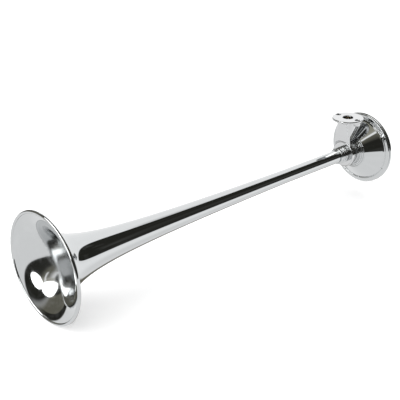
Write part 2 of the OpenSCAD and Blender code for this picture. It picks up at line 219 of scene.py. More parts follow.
class StudioLook(bpy.types.PropertyGroup):
    """Floor, light and camera"""
    paper: colour("Paper", "Floor and backdrop", "#FCFCFC")
    dark: colour("Dark room", "Unlit part of the room that the chrome mirrors", "#2C2C28")
    dim: colour("Dim wall", "Half-lit wall on the left", "#6F6D62")
    ceiling: colour("Ceiling", "Half-lit ceiling over the camera", "#A5A294")
    backdrop_strength: number("Backdrop", "Brightness of the lit room that the chrome mirrors",
                              1.22, 0.0, 10.0)
    sun_strength: number("Overhead light", "Strength of the soft light above", 0.25, 0.0, 20.0)
    floor_glow: number("Floor glow", "Share of the floor's light that comes through it, which "
                       "keeps the shadows faint", 0.15, 0.0, 1.0)
    lens: number("Lens", "Focal length in mm for the usual 36 mm frame", 83.007, 10.0, 300.0)


def on_axis(radius, station, angle=0.0):
    """Point at a radius from the horn's own axis."""
    return Vector((radius * math.cos(angle), station, radius * math.sin(angle) - AXIS_DROP))


def eased(outline, radius, steps=5, closed=True):
    """Outline with every corner rounded, as far as its two edges allow."""
    made = []
    count = len(outline)
    for i, here in enumerate(outline):
        if not closed and i in (0, count - 1):
            made.append(here)
            continue
        corner = Vector(here)
        before, after = Vector(outline[i - 1]) - corner, Vector(outline[(i + 1) % count]) - corner
        # Two roundings on one edge leave a tenth of it straight
        reach = 0.45 * min(before.length, after.length)
        turn = before.angle(after)
        cut = min(reach, radius / math.tan(turn / 2))
        start, end = corner + before.normalized() * cut, corner + after.normalized() * cut
        made += [tuple((1 - t) ** 2 * start + 2 * t * (1 - t) * corner + t * t * end)
                 for t in (k / steps for k in range(steps + 1))]
    return made


def half_round(radius, station, bend):
    """Points of a rim's half round in an outline, from its front to its rear."""
    angles = [math.radians(180 * k / RIM_STEPS - 90) for k in range(RIM_STEPS + 1)]
    return [(radius + bend * math.cos(a), station + bend * math.sin(a)) for a in angles]


def turned(name, outline, closed=True, sides=SIDES, about_y=on_axis):
    """Closed turned surface from an outline of (radius, station)."""
    bm = bmesh.new()
    rings = []
    for radius, station in outline:
        around = 1 if radius < FINE_WELD else sides
        rings.append([bm.verts.new(about_y(radius, station, 2 * math.pi * k / sides))
                      for k in range(around)])
    pairs = list(zip(rings, rings[1:])) + ([(rings[-1], rings[0])] if closed else [])
    for low, high in pairs:
        for k in range(sides):
            # A point on the axis counts once, which leaves a triangle
            bm.faces.new(list(dict.fromkeys((low[k % len(low)], low[(k + 1) % len(low)],
                                             high[(k + 1) % len(high)], high[k % len(high)]))))
    bmesh.ops.recalc_face_normals(bm, faces=bm.faces)
    return piece_from(bm, name)


def new_object(name, data):
    """Object in the scene, at the origin."""
    made = bpy.data.objects.new(name, data)
    bpy.context.scene.collection.objects.link(made)
    return made


def aimed(name, data, place, target):
    """Light or camera at a place, turned towards a target."""
    made = new_object(name, data)
    made.location = place
    made.rotation_euler = (Vector(target) - Vector(place)).to_track_quat("-Z", "Y").to_euler()
    return made


def piece_from(bm, name):
    """Object at the origin from a bmesh, smooth but for its real corners."""
    mesh = bpy.data.meshes.new(name)
    bm.to_mesh(mesh)
    bm.free()
    mesh.shade_smooth()
    mesh.set_sharp_from_angle(angle=SHARP)
    return new_object(name, mesh)


def cad_copy(node):
    """Bmesh of a CAD node, with its loose triangles welded."""
    bm = bmesh.new()
    bm.from_mesh(NODES[node].data)
    bmesh.ops.remove_doubles(bm, verts=bm.verts, dist=WELD)
    return bm


def add_rule(piece, name, make, values):
    """Puts a Geometry Nodes tree, made once, on a piece, with its inputs set by identifier."""
    tree = bpy.data.node_groups.get(name) or make()
    modifier = piece.modifiers.new(name, "NODES")
    modifier.node_group = tree
    for item in tree.interface.items_tree:
        if item.in_out == "INPUT" and item.name in values:
            modifier[item.identifier] = values[item.name]


def plain(piece, sharp=SHARP):
    """Turns a piece and its modifiers into one plain mesh that faces outwards."""
    graph = bpy.context.evaluated_depsgraph_get()
    mesh = bpy.data.meshes.new_from_object(piece.evaluated_get(graph), depsgraph=graph,
                                           preserve_all_data_layers=True)
    piece.modifiers.clear()
    old, piece.data = piece.data, mesh
    bpy.data.meshes.remove(old)
    bm = bmesh.new()
    bm.from_mesh(mesh)
    bmesh.ops.remove_doubles(bm, verts=bm.verts, dist=FINE_WELD)
    bmesh.ops.recalc_face_normals(bm, faces=bm.faces)
    bm.to_mesh(mesh)
    bm.free()
    mesh.name = piece.name
    mesh.shade_smooth()
    mesh.set_sharp_from_angle(angle=sharp)
    return piece


def finish_piece(piece, body, slot, *nodes):
    """Hands a finished piece to its body and hides its CAD nodes. The slot for its finish is not
    used.
    """
    if not piece.data.polygons:
        raise RuntimeError(f"{piece.name} has no faces")
    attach(piece, body)
    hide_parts(*nodes)


def new_material(name):
    """Material, with its tree and Object coordinates if it is new and has yet to be wired."""
    material = bpy.data.materials.get(name)
    if material:
        return material, None, None
    material = bpy.data.materials.new(name)
    material.use_nodes = True
    tree = material.node_tree
    return material, tree, add_node(tree, "ShaderNodeTexCoord").outputs["Object"]


def wire_metal(tree, base, sheen, spread, gloss, relief, strength, depth):
    """Wires a metal's shader: as the sheen runs over its spread, the roughness runs over the
    gloss, and the relief lifts the skin by a depth, at a strength."""
    rough = add_node(tree, "ShaderNodeMapRange",
                     {"Value": sheen, "From Min": spread[0], "From Max": spread[1],
                      "To Min": gloss[0], "To Max": gloss[1]})
    bump = add_node(tree, "ShaderNodeBump",
                    {"Height": relief, "Strength": strength, "Distance": depth})
    wire(tree, tree.nodes["Principled BSDF"],
         {"Base Color": base, "Metallic": 1.0, "Roughness": rough.outputs["Result"],
          "Normal": bump.outputs["Normal"]})


def chromium_plate():
    """Bright chromium on spun and turned brass: a mirror, with the faint ripple that polishing
    leaves and a slight change of gloss from hand to hand."""
    material, tree, place = new_material("chromium_plate_polished")
    if tree:
        # One smear of polish is about 30 mm long
        smear = add_node(tree, "ShaderNodeTexNoise",
                         {"Vector": place, "Scale": 33.0, "Detail": 3.0})
        # Ripple of the polished sheet, about 12 mm from crest to crest
        ripple = add_node(tree, "ShaderNodeTexNoise",
                          {"Vector": place, "Scale": 80.0, "Detail": 1.0})
        wire_metal(tree, bpy.context.scene.horn_finishes.chrome, smear.outputs["Fac"], (0.35, 0.7),
                   (0.015, 0.05), ripple.outputs["Fac"], 0.06, 0.2 * MM)
    return material


def recess_plate():
    """Chromium inside the bell: plate throws thinly into a deep recess and the buff can't follow
    it, so the gloss falls off towards the throat."""
    material, tree, place = new_material("chromium_plate_in_recess")
    if tree:
        depth = add_node(tree, "ShaderNodeSeparateXYZ", {0: place}).outputs["Y"]
        # Buffing lines that run round the inside, about 4 mm apart
        lines = add_node(tree, "ShaderNodeTexWave",
                         {"Vector": place, "Scale": 80.0, "Distortion": 0.6, "Detail": 1.0},
                         wave_type="BANDS", bands_direction="Y")
        wire_metal(tree, bpy.context.scene.horn_finishes.chrome, depth,
                   (BELL_LOW.y, BELL_LOW.y + 60 * MM), (0.03, 0.26), lines.outputs["Fac"],
                   0.03, 0.1 * MM)
    return material


def plated_casting():
    """Chromium over a buffed die casting, softer than the trumpet because the skin of the casting
    shows through as a fine unevenness. Its colour is paler than the trumpet's chrome: partly the
    plate's own tone and partly painted light, which makes the casting read brighter."""
    material, tree, place = new_material("chromium_plate_on_casting")
    if tree:
        skin = add_node(tree, "ShaderNodeTexNoise",
                        {"Vector": place, "Scale": 260.0, "Detail": 4.0}).outputs["Fac"]
        wire_metal(tree, bpy.context.scene.horn_finishes.cast_chrome_and_painted_light, skin, (0.3, 0.7),
                   (0.07, 0.13), skin, 0.02, 0.1 * MM)
    return material


def turned_brass():
    """Turned brass, left bare inside the horn: warm and bright, with fine tool marks round it."""
    material, tree, place = new_material("brass_turned")
    if tree:
        # Tool marks 1 mm apart along the axis
        marks = add_node(tree, "ShaderNodeTexWave",
                         {"Vector": place, "Scale": 320.0, "Distortion": 1.5, "Detail": 2.0},
                         wave_type="BANDS", bands_direction="Y")
        tone = add_node(tree, "ShaderNodeTexNoise",
                        {"Vector": place, "Scale": 120.0, "Detail": 5.0}).outputs["Fac"]
        tarnish = add_node(tree, "ShaderNodeMix", {
            "Factor": tone, 6: bpy.context.scene.horn_finishes.brass, 7: linear("#C8B48C")},
            data_type="RGBA", blend_type="MULTIPLY")
        wire_metal(tree, tarnish.outputs[2], tone, (0.0, 1.0), (0.18, 0.38), marks.outputs["Fac"],
                   0.2, 0.05 * MM)
    return material


def spring_steel():
    """Rolled spring steel and drawn wire: grey, with a fine grain along the sheet."""
    material, tree, place = new_material("spring_steel_rolled")
    if tree:
        # Rolling marks 0.4 mm wide and some 10 mm long
        along = add_node(tree, "ShaderNodeMapping", {"Vector": place, "Scale": (1.0, 1.0, 24.0)})
        grain = add_node(tree, "ShaderNodeTexNoise",
                         {"Vector": along.outputs["Vector"], "Scale": 100.0,
                          "Detail": 3.0}).outputs["Fac"]
        wire_metal(tree, bpy.context.scene.horn_finishes.steel, grain, (0.0, 1.0), (0.2, 0.42),
                   grain, 0.15, 0.05 * MM)
    return material


def soft_sheet(name, base, rough, grain):
    """Fibre sheet or nitrile rubber: dull and dark, with a speckle at the size of its grain."""
    material, tree, place = new_material(name)
    if tree:
        speckle = add_node(tree, "ShaderNodeTexNoise",
                           {"Vector": place, "Scale": 1 / grain, "Detail": 3.0}).outputs["Fac"]
        # The grains are paler than the sheet
        lighter = [min(1.0, 1.6 * part + 0.01) for part in base[:3]] + [1.0]
        tone = add_node(tree, "ShaderNodeMix", {"Factor": speckle, 6: base, 7: lighter},
                        data_type="RGBA")
        bump = add_node(tree, "ShaderNodeBump",
                        {"Height": speckle, "Strength": 0.3, "Distance": 0.05 * MM})
        wire(tree, tree.nodes["Principled BSDF"],
             {"Base Color": tone.outputs[2], "Roughness": rough, "Normal": bump.outputs["Normal"]})
    return material


def new_rule(name, inputs):
    """Empty Geometry Nodes tree, from its inputs' names by kind. Returns it and its sockets."""
    tree = bpy.data.node_groups.new(name, "GeometryNodeTree")
    for kind, labels in {**inputs, "Material": ["Material"]}.items():
        for label in labels:
            tree.interface.new_socket(label, in_out="INPUT", socket_type="NodeSocket" + kind)
    tree.interface.new_socket("Geometry", in_out="OUTPUT", socket_type="NodeSocketGeometry")
    given = add_node(tree, "NodeGroupInput").outputs
    return tree, {socket.name: socket for socket in given if socket.name}


def end_rule(tree, geometry, material):
    """Ends a tree in Realize Instances and Set Material."""
    real = add_node(tree, "GeometryNodeRealizeInstances", {"Geometry": geometry})
    painted = add_node(tree, "GeometryNodeSetMaterial",
                       {"Geometry": real.outputs[0], "Material": material})
    add_node(tree, "NodeGroupOutput", {"Geometry": painted.outputs[0]})


# Each sum: its name, the operation, and what goes in, by name or as a constant. Rows run out along
# the outside of the wall and come back along the inside.
FLARE_SUMS = (
    ("Rows", "MULTIPLY", "Steps", 2.0),
    ("Row Points", "ADD", "Rows", 1.0),
    ("Side Points", "ADD", "Sides", 1.0),
    ("Row Share", "ADD", "Across", 0.5),
    ("Row Place", "MULTIPLY", "Row Share", "Rows"),
    ("Row", "ROUND", "Row Place"),
    ("Last", "SUBTRACT", "Steps", 1.0),
    ("Out", "DIVIDE", "Row", "Last"),
    ("Rows Left", "SUBTRACT", "Rows", "Row"),
    ("Way Back", "SUBTRACT", "Rows Left", 1.0),
    ("Back", "DIVIDE", "Way Back", "Last"),
    ("Nearer", "MINIMUM", "Out", "Back"),
    ("Share", "MAXIMUM", "Nearer", 0.0),
    ("Inside Middle", "MULTIPLY_ADD", "Steps", 1.5, -0.5),
    ("Half Side", "MULTIPLY", "Steps", 0.5),
    ("Inside", "COMPARE", "Row", "Inside Middle", "Half Side"),
    ("Depth", "MULTIPLY", "Wall", "Inside"),
    ("Length", "SUBTRACT", "End", "Start"),
    ("Bent Share", "POWER", "Share", "Bend"),
    ("Run", "MULTIPLY", "Length", "Bent Share"),
    ("Far", "ADD", "Start", "Run"),
    ("Ratio", "DIVIDE", "Far", "Flare Scale"),
    ("Spread", "ADD", "Ratio", 1.0),
    ("Minus Power", "MULTIPLY", "Flare Power", -1.0),
    ("Narrowing", "POWER", "Spread", "Minus Power"),
    ("Law", "MULTIPLY", "Mouth Circle", "Narrowing"),
    ("Radius", "MAXIMUM", "Law", "Tube Radius"),
    ("Fall", "MULTIPLY", "Flare Power", "Radius"),
    ("From Pole", "ADD", "Far", "Flare Scale"),
    ("Steepness", "DIVIDE", "Fall", "From Pole"),
    ("In Flare", "GREATER_THAN", "Law", "Tube Radius"),
    ("Slope", "MULTIPLY", "Steepness", "In Flare"),
    ("Slant Square", "MULTIPLY_ADD", "Slope", "Slope", 1.0),
    ("Slant", "SQRT", "Slant Square"),
    ("Sink", "DIVIDE", "Depth", "Slant"),
    ("Skin", "SUBTRACT", "Radius", "Sink"),
    ("Shift", "MULTIPLY", "Sink", "Slope"),
    ("Shifted", "SUBTRACT", "Far", "Shift"),
    ("Station", "SUBTRACT", "Shifted", "Reach"),
    ("Turn", "ADD", "Around", 0.5),
    ("Angle", "MULTIPLY", "Turn", 2 * math.pi),
    ("Cosine", "COSINE", "Angle"),
    ("Sine", "SINE", "Angle"),
    ("X", "MULTIPLY", "Skin", "Cosine"),
    ("Height", "MULTIPLY", "Skin", "Sine"),
    ("Z", "SUBTRACT", "Height", AXIS_DROP))


def flare_rule():
    """Trumpet's wall, outside and inside, from the flare's law round the horn's axis."""
    tree, given = new_rule("flare_by_law", {
        "Float": ["Mouth Circle", "Tube Radius", "Flare Scale", "Flare Power", "Start", "End",
                  "Bend", "Wall", "Reach"],
        "Int": ["Steps", "Sides"]})
    grid = add_node(tree, "GeometryNodeMeshGrid")
    where = add_node(tree, "ShaderNodeSeparateXYZ",
                     {0: add_node(tree, "GeometryNodeInputPosition").outputs[0]})
    made = {**given, "Across": where.outputs["X"], "Around": where.outputs["Y"]}
    for name, operation, *values in FLARE_SUMS:
        inputs = {i: made[v] if isinstance(v, str) else v for i, v in enumerate(values)}
        made[name] = add_node(tree, "ShaderNodeMath", inputs, operation=operation).outputs[0]
    wire(tree, grid, {"Vertices X": made["Row Points"], "Vertices Y": made["Side Points"]})
    place = add_node(tree, "ShaderNodeCombineXYZ",
                     {"X": made["X"], "Y": made["Station"], "Z": made["Z"]})
    bent = add_node(tree, "GeometryNodeSetPosition",
                    {"Geometry": grid.outputs["Mesh"], "Position": place.outputs[0]})
    closed = add_node(tree, "GeometryNodeMergeByDistance",
                      {"Geometry": bent.outputs[0], "Distance": WELD})
    end_rule(tree, closed.outputs[0], given["Material"])
    return tree


def beads_rule():
    """Row of round beads turned on a piece, each a step further and wider than the last."""
    tree, given = new_rule("turned_beads", {
        "Geometry": ["Geometry"], "Int": ["Count"],
        "Float": ["First Radius", "Radius Step", "First Station", "Station Step",
                  "Section Radius"]})
    start = add_node(tree, "ShaderNodeCombineXYZ", {"Y": given["First Station"], "Z": -AXIS_DROP})
    step = add_node(tree, "ShaderNodeCombineXYZ", {"Y": given["Station Step"]})
    places = add_node(tree, "GeometryNodeMeshLine",
                      {"Count": given["Count"], "Start Location": start.outputs[0],
                       "Offset": step.outputs[0]})
    index = add_node(tree, "GeometryNodeInputIndex")
    wider = add_node(tree, "ShaderNodeMath",
                     {0: index.outputs[0], 1: given["Radius Step"], 2: given["First Radius"]},
                     operation="MULTIPLY_ADD")
    hoop = add_node(tree, "GeometryNodeCurvePrimitiveCircle", {"Resolution": SIDES})
    hoops = add_node(tree, "GeometryNodeInstanceOnPoints",
                     {"Points": places.outputs["Mesh"], "Instance": hoop.outputs["Curve"],
                      "Rotation": (math.pi / 2, 0.0, 0.0), "Scale": wider.outputs[0]})
    lines = add_node(tree, "GeometryNodeRealizeInstances", {"Geometry": hoops.outputs[0]})
    level = add_node(tree, "GeometryNodeSetCurveRadius",
                     {"Curve": lines.outputs[0], "Radius": 1.0})
    section = add_node(tree, "GeometryNodeCurvePrimitiveCircle",
                       {"Resolution": SECTION_SIDES, "Radius": given["Section Radius"]})
    beads = add_node(tree, "GeometryNodeCurveToMesh",
                     {"Curve": level.outputs[0], "Profile Curve": section.outputs["Curve"]})
    both = add_node(tree, "GeometryNodeJoinGeometry")
    for part in (given["Geometry"], beads.outputs[0]):
        tree.links.new(part, both.inputs[0])
    end_rule(tree, both.outputs[0], given["Material"])
    return tree


def add_beads(piece, material, section, radius, station, count=1, wider=0.0, pitch=0.0):
    """Turns a row of beads on a piece, from the radius and station of the first one's middle."""
    add_rule(piece, "turned_beads", beads_rule, {
        "Count": count, "First Radius": radius, "Radius Step": wider, "First Station": station,
        "Station Step": pitch, "Section Radius": section, "Material": material})


CIRCLE_SUMS = (
    ("Pitch", "DIVIDE", 2 * math.pi, "Count"),
    ("Angle", "MULTIPLY_ADD", "Number", "Pitch", "First Angle"),
    ("Cosine", "COSINE", "Angle"),
    ("Sine", "SINE", "Angle"),
    ("X", "MULTIPLY", "Cosine", "Circle Radius"),
    ("Height", "MULTIPLY", "Sine", "Circle Radius"),
    ("Z", "SUBTRACT", "Height", AXIS_DROP))


def circle_rule():
    """One part repeated on a circle round the horn's axis, each turned by its own chance angle."""
    tree, given = new_rule("parts_on_a_circle", {
        "Object": ["Part"], "Int": ["Count", "Seed"],
        "Float": ["Circle Radius", "First Angle"]})
    part = add_node(tree, "GeometryNodeObjectInfo", {"Object": given["Part"]})
    points = add_node(tree, "GeometryNodeMeshLine",
                      {"Count": given["Count"], "Offset": (0.0, 0.0, 0.0)})
    made = {**given, "Number": add_node(tree, "GeometryNodeInputIndex").outputs[0]}
    for name, operation, *values in CIRCLE_SUMS:
        inputs = {i: made[v] if isinstance(v, str) else v for i, v in enumerate(values)}
        made[name] = add_node(tree, "ShaderNodeMath", inputs, operation=operation).outputs[0]
    place = add_node(tree, "ShaderNodeCombineXYZ", {"X": made["X"], "Z": made["Z"]})
    set_out = add_node(tree, "GeometryNodeSetPosition",
                       {"Geometry": points.outputs["Mesh"], "Position": place.outputs[0]})
    chance = add_node(tree, "FunctionNodeRandomValue",
                      {2: 0.0, 3: 2 * math.pi, "Seed": given["Seed"]})
    turn = add_node(tree, "ShaderNodeCombineXYZ", {"Y": chance.outputs[1]})
    copies = add_node(tree, "GeometryNodeInstanceOnPoints",
                      {"Points": set_out.outputs[0], "Instance": part.outputs["Geometry"],
                       "Rotation": turn.outputs[0]})
    end_rule(tree, copies.outputs[0], given["Material"])
    return tree


def put_material(piece, material):
    """Gives the whole piece one material."""
    piece.data.materials.clear()
    piece.data.materials.append(material)
    for face in piece.data.polygons:
        face.material_index = 0


class HORN_OT_trumpet(bpy.types.Operator):
    """Spin the bell and the tube from the flare's law, with the rolled rim"""
    bl_idname = "horn.trumpet"
    bl_label = "Trumpet"

    def execute(self, context):
        sizes = context.scene.horn_trumpet
        circle = MOUTH_RADIUS - sizes.roll_radius
        reach = -BELL_LOW.y - sizes.roll_radius
        chrome = chromium_plate()
        piece = piece_from(bmesh.new(), "trumpet")
        add_rule(piece, "flare_by_law", flare_rule, {
            "Mouth Circle": circle, "Tube Radius": sizes.tube_radius,
            "Flare Scale": sizes.flare_scale, "Flare Power": sizes.flare_power,
            "Start": sizes.lip, "End": TUBE_HIGH.y + reach, "Bend": sizes.crowding,
            "Wall": sizes.wall, "Reach": reach, "Steps": sizes.steps, "Sides": sizes.sides,
            "Material": chrome})
        add_beads(piece, chrome, sizes.roll_radius, circle, -reach)
        put_material(plain(piece), chrome)
        piece.data.materials.append(recess_plate())
        for face in piece.data.polygons:
            inwards = Vector((face.center.x, 0.0, face.center.z + AXIS_DROP)).dot(face.normal) < 0
            in_wall = face.center.y > BELL_LOW.y + 2 * sizes.roll_radius
            face.material_index = 1 if inwards and in_wall else 0
        finish_piece(piece, "horn", "chrome", "bell", "trumpet_tube")
        return {"FINISHED"}


class HORN_OT_ferrule(bpy.types.Operator):
    """Turn the beaded ferrule between the tube and the pedestal"""
    bl_idname = "horn.ferrule"
    bl_label = "Ferrule"

    def execute(self, context):
        sizes = context.scene.horn_ferrule
        front, rear = FERRULE_LOW.y, FERRULE_HIGH.y
        outer = (GASKET_HIGH.x - GASKET_LOW.x) / 2
        inner = outer - sizes.wall
        bore = inner - context.scene.horn_trumpet.wall
        thread, socket = rear - sizes.thread_depth, front + sizes.socket_depth
        outline = [(inner, front), (outer, front), (outer, rear), (sizes.thread_radius, rear),
                   (sizes.thread_radius, thread), (bore, thread), (bore, socket), (inner, socket)]
        rounding = 0.3 * MM
        piece = turned("throat_ferrule_piece", eased(outline, rounding, 3))
        pitch = (rear - front) / sizes.beads
        # A bead stands out of the wall by three quarters of its radius
        add_beads(piece, chromium_plate(), sizes.bead_radius, outer - sizes.bead_radius / 4,
                  front + pitch / 2, sizes.beads, pitch=pitch)
        finish_piece(plain(piece), "horn", "chrome", "throat_ferrule")
        return {"FINISHED"}


class HORN_OT_pedestal(bpy.types.Operator):
    """Round the casting that carries the horn: pad, leg and boss in one skin"""
    bl_idname = "horn.pedestal"
    bl_label = "Pedestal"

    def execute(self, context):
        sizes = context.scene.horn_pedestal
        bm = cad_copy("pedestal")
        # The corners to draw in lie at the waist, in front of the round neck
        waist_band, neck_front = 1 * MM, -7 * MM
        for vert in bm.verts:
            if abs(vert.co.z + sizes.waist_depth) < waist_band and vert.co.y < neck_front:
                vert.co.x -= math.copysign(sizes.waist_draw, vert.co.x)
        piece = piece_from(bm, "pedestal_casting")
        skin = piece.modifiers.new("skin", "REMESH")
        skin.mode, skin.voxel_size = "VOXEL", sizes.grain
        ease = piece.modifiers.new("ease", "SMOOTH")
        ease.factor, ease.iterations = 0.5, 8
        plain(piece, CASTING_SHARP)
        casting = plated_casting()
        # The turned edge stands out of the boss's face by 0.15 of its radius
        add_beads(piece, casting, sizes.edge_radius, sizes.boss_radius - sizes.edge_radius,
                  GASKET_HIGH.y + 0.85 * sizes.edge_radius)
        put_material(plain(piece, CASTING_SHARP), casting)
        finish_piece(piece, "horn", "chrome", "pedestal")
        return {"FINISHED"}


class HORN_OT_housing(bpy.types.Operator):
    """Turn the diaphragm housing with its beaded rings, cone and rounded rim"""
    bl_idname = "horn.housing"
    bl_label = "Diaphragm housing"

    def execute(self, context):
        s = context.scene.horn_housing
        front, rear = HOUSING_LOW.y, HOUSING_HIGH.y
        cone_start = front + s.ring_length
        cone_end = cone_start + s.cone_length
        cone_large = RIM_RADIUS - s.flange
        step_radius = cone_large + s.step
        rim_circle = RIM_RADIUS - s.edge
        rim_front = rear - 2 * s.edge
        pocket = front + s.front_wall
        cavity = pocket + s.pocket_depth
        slope = (cone_large - s.cone_small) / s.cone_length
        rounding, relief = 0.8 * MM, 1 * MM
        body = eased([
            (s.neck_radius, front), (s.front_radius, front), (s.cone_small, cone_start),
            (cone_large, cone_end), (step_radius, rim_front - s.trim_radius),
            (rim_circle - s.edge, rim_front)], rounding, closed=False)
        edge = half_round(rim_circle, rear - s.edge, s.edge)
        cavity_side = [
            (s.seat_radius, rear), (s.seat_radius, cone_end + relief),
            (cone_large - s.cone_wall, cone_end),
            (s.cone_small - s.cone_wall - (cone_start - cavity) * slope, cavity),
            (s.pocket_radius, cavity), (s.pocket_radius, pocket), (s.neck_radius, pocket)]
        piece = turned("diaphragm_housing_piece", body + edge + cavity_side)
        chrome = chromium_plate()
        ring_slope = (s.cone_small - s.front_radius) / s.ring_length
        # The rings are sunk square into the slope
        depth = 0.3 * MM
        sink = depth * math.sqrt(1 + ring_slope ** 2)
        # Shares of a pitch from the face to the first ring's middle, and from the last to the cone
        first, last = 0.6, 0.1
        pitch = s.ring_length / (s.rings - 1 + first + last)
        add_beads(piece, chrome, s.ring_radius, s.front_radius + first * pitch * ring_slope - sink,
                  front + first * pitch, s.rings, pitch * ring_slope, pitch)
        add_beads(plain(piece), chrome, s.trim_radius, step_radius + 2 * s.trim_radius,
                  rim_front - s.trim_radius / 2)
        finish_piece(plain(piece), "horn", "chrome", "diaphragm_housing")
        return {"FINISHED"}


class HORN_OT_cover(bpy.types.Operator):
    """Turn the domed back cover"""
    bl_idname = "horn.cover"
    bl_label = "Back cover"

    def execute(self, context):
        s = context.scene.horn_cover
        face = COVER_LOW.y
        rim_rear = face + s.rim_thickness
        dome_outer = COVER_HIGH.y
        dome_inner = dome_outer - s.wall
        corner = 2 * s.wall
        edge = s.rim_thickness / 2
        flat, rounding = 6 * MM, 4 * MM
        outside = eased([
            (s.dome_radius + flat, rim_rear), (s.dome_radius, rim_rear),
            (s.dome_radius - corner, dome_outer), (0.0, dome_outer)], rounding, 8, closed=False)
        outline = ([(0.0, dome_inner), (s.dome_radius - corner, dome_inner), (s.dome_radius, face)]
                   + half_round(RIM_RADIUS - edge, face + edge, edge) + outside)
        piece = turned("back_cover_piece", outline, closed=False)
        put_material(piece, chromium_plate())
        finish_piece(piece, "horn", "chrome", "back_cover")
        return {"FINISHED"}


def beside(radius, station, angle):
    """Point at a radius from the Y axis, for a part that is then set on a circle."""
    return Vector((radius * math.cos(angle), station, radius * math.sin(angle)))


def slotted(name, outline, low, high):
    """Turned part with a straight slot cut across it between two corners."""
    part = turned(name, outline, closed=False, sides=48, about_y=beside)
    bm = bmesh.new()
    bmesh.ops.create_cube(bm, size=1.0, matrix=Matrix.Translation((low + high) / 2)
                          @ Matrix.Diagonal((*(high - low), 1.0)))
    cutter = piece_from(bm, name + "_cutter")
    cut = part.modifiers.new("slot", "BOOLEAN")
    cut.operation, cut.solver, cut.object = "DIFFERENCE", "EXACT", cutter
    plain(part)
    bpy.data.objects.remove(cutter)
    return part


def set_on_circle(context, part, slot, seed, material, node):
    """Repeats a part on the circle of screws and drops the single one."""
    s = context.scene.horn_cover
    piece = piece_from(bmesh.new(), node + "_piece")
    add_rule(piece, "parts_on_a_circle", circle_rule, {
        "Part": part, "Count": s.screws, "Circle Radius": RIM_RADIUS - s.screw_inset,
        "First Angle": s.first_screw, "Seed": seed, "Material": material})
    plain(piece)
    bpy.data.objects.remove(part)
    finish_piece(piece, "horn", slot, node)


class HORN_OT_fasteners(bpy.types.Operator):
    """Set the cover's slotted screws and split lock washers on their circle"""
    bl_idname = "horn.fasteners"
    bl_label = "Screws and washers"

    def execute(self, context):
        s = context.scene.horn_cover
        top, tip = SCREWS_HIGH.y, SCREWS_LOW.y
        seat = top - s.head_height
        chamfer, past = 0.4 * MM, 1 * MM
        far = s.head_radius + past
        dome = [(s.head_radius * math.cos(a), seat + s.head_height * math.sin(a))
                for a in map(math.radians, range(18, 90, 9))]
        outline = [(0.0, tip), (s.shank_radius - chamfer, tip), (s.shank_radius, tip + chamfer),
                   (s.shank_radius, seat), (s.head_radius, seat), *dome, (0.0, top)]
        screw = slotted("screw", outline,
                        Vector((-far, top - s.head_height / 2, -s.slot_width / 2)),
                        Vector((far, top + past, s.slot_width / 2)))
        set_on_circle(context, screw, "chrome", 3, chromium_plate(), "cover_screws")
        low, high = WASHERS_LOW.y, WASHERS_HIGH.y
        clearance, rounding = 0.1 * MM, 0.15 * MM
        hole = s.shank_radius + clearance
        section = eased([(hole, low), (s.head_radius, low), (s.head_radius, high), (hole, high)],
                        rounding, 2)
        washer = slotted("washer", section + section[:1],
                         Vector((0.0, low - past, -s.slot_width / 3)),
                         Vector((far, high + past, s.slot_width / 3)))
        set_on_circle(context, washer, "spring_steel", 8, spring_steel(), "lock_washers")
        return {"FINISHED"}


class HORN_OT_diaphragm(bpy.types.Operator):
    """Cut the sheet diaphragm into sectors, each cut into strips between the rim and the valve"""
    bl_idname = "horn.diaphragm"
    bl_label = "Diaphragm"

    def execute(self, context):
        s = context.scene.horn_cover
        span = 2 * math.pi / s.screws
        # The sheet is stiff under the valve's washer and clamped outside the seat
        margin = 1 * MM
        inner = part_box("backing_washer")[1].x + margin
        outer = context.scene.horn_housing.seat_radius * math.cos(span / 2)
        for k in range(s.screws):
            # A sector has a screw in its middle, so that its edges meet no screw hole
            middle = s.first_screw + k * span
            bm = cad_copy("diaphragm")
            for side in (-1, 1):
                edge = middle + side * span / 2
                self.cut(bm, on_axis(0.0, 0.0),
                         side * Vector((-math.sin(edge), 0.0, math.cos(edge))), clear=True)
                bmesh.ops.holes_fill(bm, edges=[e for e in bm.edges if e.is_boundary])
            for strip in range(s.bends + 1):
                place = on_axis(inner + (outer - inner) * strip / s.bends, 0.0, middle)
                self.cut(bm, place, beside(1.0, 0.0, middle))
            piece = piece_from(bm, f"diaphragm_sector_{k + 1}")
            put_material(piece, spring_steel())
            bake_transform(piece)
            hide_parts("diaphragm")
        return {"FINISHED"}

    def cut(self, bm, place, normal, clear=False):
        """Cuts a mesh at a plane, and clears what lies beyond it if asked to."""
        bmesh.ops.bisect_plane(bm, geom=bm.verts[:] + bm.edges[:] + bm.faces[:], dist=FINE_WELD,
                               plane_co=place, plane_no=normal, clear_outer=clear)


class HORN_OT_small_parts(bpy.types.Operator):
    """Give the inner parts, gaskets and wire their finishes"""
    bl_idname = "horn.small_parts"
    bl_label = "Inner parts"

    def execute(self, context):
        look = context.scene.horn_finishes
        fibre = soft_sheet("vulcanised_fibre", look.fibre, 0.7, 0.8 * MM)
        rubber = soft_sheet("nitrile_rubber", look.rubber, 0.55, 0.5 * MM)
        finishes = {
            "rim_wire": spring_steel(), "ferrule_gasket": fibre, "neck_gasket": fibre,
            "inlet_strainer": turned_brass(), "nozzle": turned_brass(), "nozzle_o_ring": rubber,
            "front_gasket": rubber, "rear_gasket": rubber, "valve_disc": turned_brass(),
            "backing_washer": spring_steel(), "centre_rivet": spring_steel()}
        for name, material in finishes.items():
            for holder in NODES[name].material_slots:
                holder.material = material
        return {"FINISHED"}


